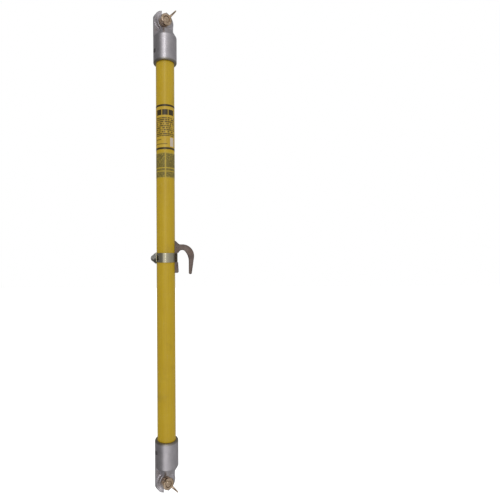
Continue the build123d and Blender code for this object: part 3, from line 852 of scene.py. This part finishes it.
# %% Measures of the wing nut
FACE_TURN = math.radians(32.5)
FACE_SETBACK = 0.002
FACE_HEIGHT = 0.3979
HUB_BASE = 0.0019
HUB_END = 0.0095
HUB_R = 0.0103
HUB_BACK_R = 0.0078
HUB_ROUND = 0.0020
BORE_R = 0.0042
CUP_R = 0.0057
CUP_DEPTH = 0.0034
WING_ANGLE = math.radians(45.5)
WING_LINE = ((0.0080, HUB_END - 0.0022), (0.0150, HUB_END - 0.0008), (0.0164, HUB_END + 0.0115))
WING_WIDTHS = (0.0040, 0.0066, 0.0046)
WING_THICKNESSES = (0.0046, 0.0030, 0.0022)

face_normal = np.array((math.sin(FACE_TURN), -math.cos(FACE_TURN), 0.0))
face_across = np.array((math.cos(FACE_TURN), math.sin(FACE_TURN), 0.0))
print("face normal", face_normal.round(3))

# %% [markdown]
# The hub's profile is a closed loop in two measures: distance from the bolt's axis, and height above the
# face. Its outer corners are quarter circles, softer than the solid's. Turning the loop full circle gives a
# closed ring of skin.

# %% The hub
CORNER_POINTS = 6
HUB_STEPS = 96


def quarter(centre, radius, start):
    """A quarter circle: centre plus radius times (cos a, sin a), with a from start to start + 90 degrees."""
    angle = np.radians(np.linspace(start, start + 90.0, CORNER_POINTS))
    return np.stack((centre[0] + radius * np.cos(angle), centre[1] + radius * np.sin(angle)), axis=1)


def quads(rows, columns, wrap_rows):
    """The faces of a grid of points. Each row closes on itself, and so do the columns with wrap_rows."""
    last = rows if wrap_rows else rows - 1
    row, column = np.meshgrid(np.arange(last), np.arange(columns), indexing="ij")
    next_row, next_column = (row + 1) % rows, (column + 1) % columns
    grid = np.stack((row * columns + column, row * columns + next_column,
                     next_row * columns + next_column, next_row * columns + column), axis=-1)
    return grid.reshape(-1, 4)


def turned_hub(centre):
    """Hub: centre + r (cos a * across + sin a * up) + h * normal, for each (r, h) of the profile."""
    profile = np.concatenate((
        [(BORE_R, HUB_BASE)], quarter((HUB_BACK_R - HUB_ROUND, HUB_BASE + HUB_ROUND), HUB_ROUND, -90.0),
        quarter((HUB_R - HUB_ROUND, HUB_END - HUB_ROUND), HUB_ROUND, 0.0),
        [(CUP_R, HUB_END), (CUP_R, HUB_END - CUP_DEPTH), (BORE_R, HUB_END - CUP_DEPTH)]))
    angle = np.linspace(0.0, 2 * math.pi, HUB_STEPS, endpoint=False)
    ring = np.cos(angle)[:, None] * face_across + np.sin(angle)[:, None] * np.array((0.0, 0.0, 1.0))
    points = profile[:, 0, None, None] * ring + profile[:, 1, None, None] * face_normal + centre
    return points.reshape(-1, 3), quads(len(profile), HUB_STEPS, True)


print("hub", HUB_STEPS, "steps round")

# %% [markdown]
# A wing's line is a curve through three guide points a, b and c, given as distance out from the bolt's axis
# and height above the face. Its width and thickness follow the same weights, and over the last fifth both
# shrink as a ball does, so the tip is round. The oval's sides are flattened a little by a power below one.

# %% The wings
WING_ROWS = 40
WING_COLUMNS = 28
TIP_SHARE = 0.20
TIP_FLOOR = 0.004
OVAL_POWER = 0.75


def lofted_wing(centre, outwards):
    """Wing: ovals along the curve (1-s)^2 a + 2s(1-s) b + s^2 c, closing like the end of a ball at s = 1."""
    s = np.linspace(0.0, 1.0, WING_ROWS)[:, None]
    weights = np.concatenate(((1 - s) ** 2, 2 * s * (1 - s), s ** 2), axis=1)
    line = weights @ np.array(WING_LINE)
    slope = np.gradient(line, axis=0)
    slope /= np.linalg.norm(slope, axis=1, keepdims=True)
    into_tip = ((s[:, 0] - (1 - TIP_SHARE)) / TIP_SHARE).clip(0.0, 1.0)
    ball = np.sqrt(np.clip(1 - into_tip ** 2, TIP_FLOOR, 1.0))
    width = (weights @ np.array(WING_WIDTHS)) * ball / 2
    thickness = (weights @ np.array(WING_THICKNESSES)) * np.sqrt(ball) / 2
    angle = np.linspace(0.0, 2 * math.pi, WING_COLUMNS, endpoint=False)
    oval_x = np.sign(np.cos(angle)) * np.abs(np.cos(angle)) ** OVAL_POWER
    oval_y = np.sign(np.sin(angle)) * np.abs(np.sin(angle)) ** OVAL_POWER
    sideways = np.cross(outwards, face_normal)
    in_plane = -slope[:, 1, None] * outwards + slope[:, 0, None] * face_normal
    spine = centre + line[:, 0, None] * outwards + line[:, 1, None] * face_normal
    points = (spine[:, None, :] + (width[:, None] * oval_x)[..., None] * in_plane[:, None, :]
              + (thickness[:, None] * oval_y)[..., None] * sideways)
    return points.reshape(-1, 3), quads(WING_ROWS, WING_COLUMNS, False)


def wing_nut_skin(name, end):
    """Hub and two wings in one mesh, closed at the wings' ends."""
    centre = face_normal * -FACE_SETBACK + np.array((0.0, 0.0, end * FACE_HEIGHT))
    hub, hub_faces = turned_hub(centre)
    points, faces = [hub], hub_faces.tolist()
    start = len(hub)
    for side in (1, -1):
        upwards = np.array((0.0, 0.0, end * math.sin(WING_ANGLE)))
        outwards = (face_across * math.cos(WING_ANGLE) + upwards) * side
        wing, wing_faces = lofted_wing(centre, outwards)
        points.append(wing)
        faces += (wing_faces + start).tolist()
        tip_start = start + (WING_ROWS - 1) * WING_COLUMNS
        faces += [list(range(first, first + WING_COLUMNS)) for first in (start, tip_start)]
        start += len(wing)
    mesh = bpy.data.meshes.new(name)
    mesh.from_pydata(np.concatenate(points).tolist(), [], faces)
    return mesh


print("wings", WING_ROWS, "x", WING_COLUMNS, "points each")

# %% [markdown]
# The remesh works on a rough object first. The melted and smoothed result is copied into a plain mesh with
# nothing live on it, and that is the piece. It rides on the nut's own body, so it turns and climbs with it.

# %% Two wing nuts
NUT_VOXEL = 0.00028
RELAX_STRENGTH = 0.5
RELAX_STEPS = 5

for end, place_name in ((1, "top"), (-1, "bottom")):
    rough_nut = bpy.data.objects.new("rough_nut", wing_nut_skin("rough_nut", end))
    bpy.context.scene.collection.objects.link(rough_nut)
    melt = rough_nut.modifiers.new("melt", "REMESH")
    melt.mode = "VOXEL"
    melt.voxel_size = NUT_VOXEL
    relax = rough_nut.modifiers.new("relax", "SMOOTH")
    relax.factor = RELAX_STRENGTH
    relax.iterations = RELAX_STEPS
    melted = rough_nut.evaluated_get(bpy.context.evaluated_depsgraph_get())
    nut_mesh = bpy.data.meshes.new_from_object(melted)
    bpy.data.objects.remove(rough_nut)
    nut_mesh.name = f"{place_name}_wing_nut_casting"
    nut_mesh.polygons.foreach_set("use_smooth", np.ones(len(nut_mesh.polygons), dtype=bool))
    nut_mesh.materials.clear()
    nut_mesh.materials.append(bronze)
    wing_nut = bpy.data.objects.new(nut_mesh.name, nut_mesh)
    bpy.context.scene.collection.objects.link(wing_nut)
    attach(wing_nut, f"{place_name}_wing_nut")
    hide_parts(f"{place_name}_wing_nut")
    print(nut_mesh.name, len(nut_mesh.polygons), "faces")
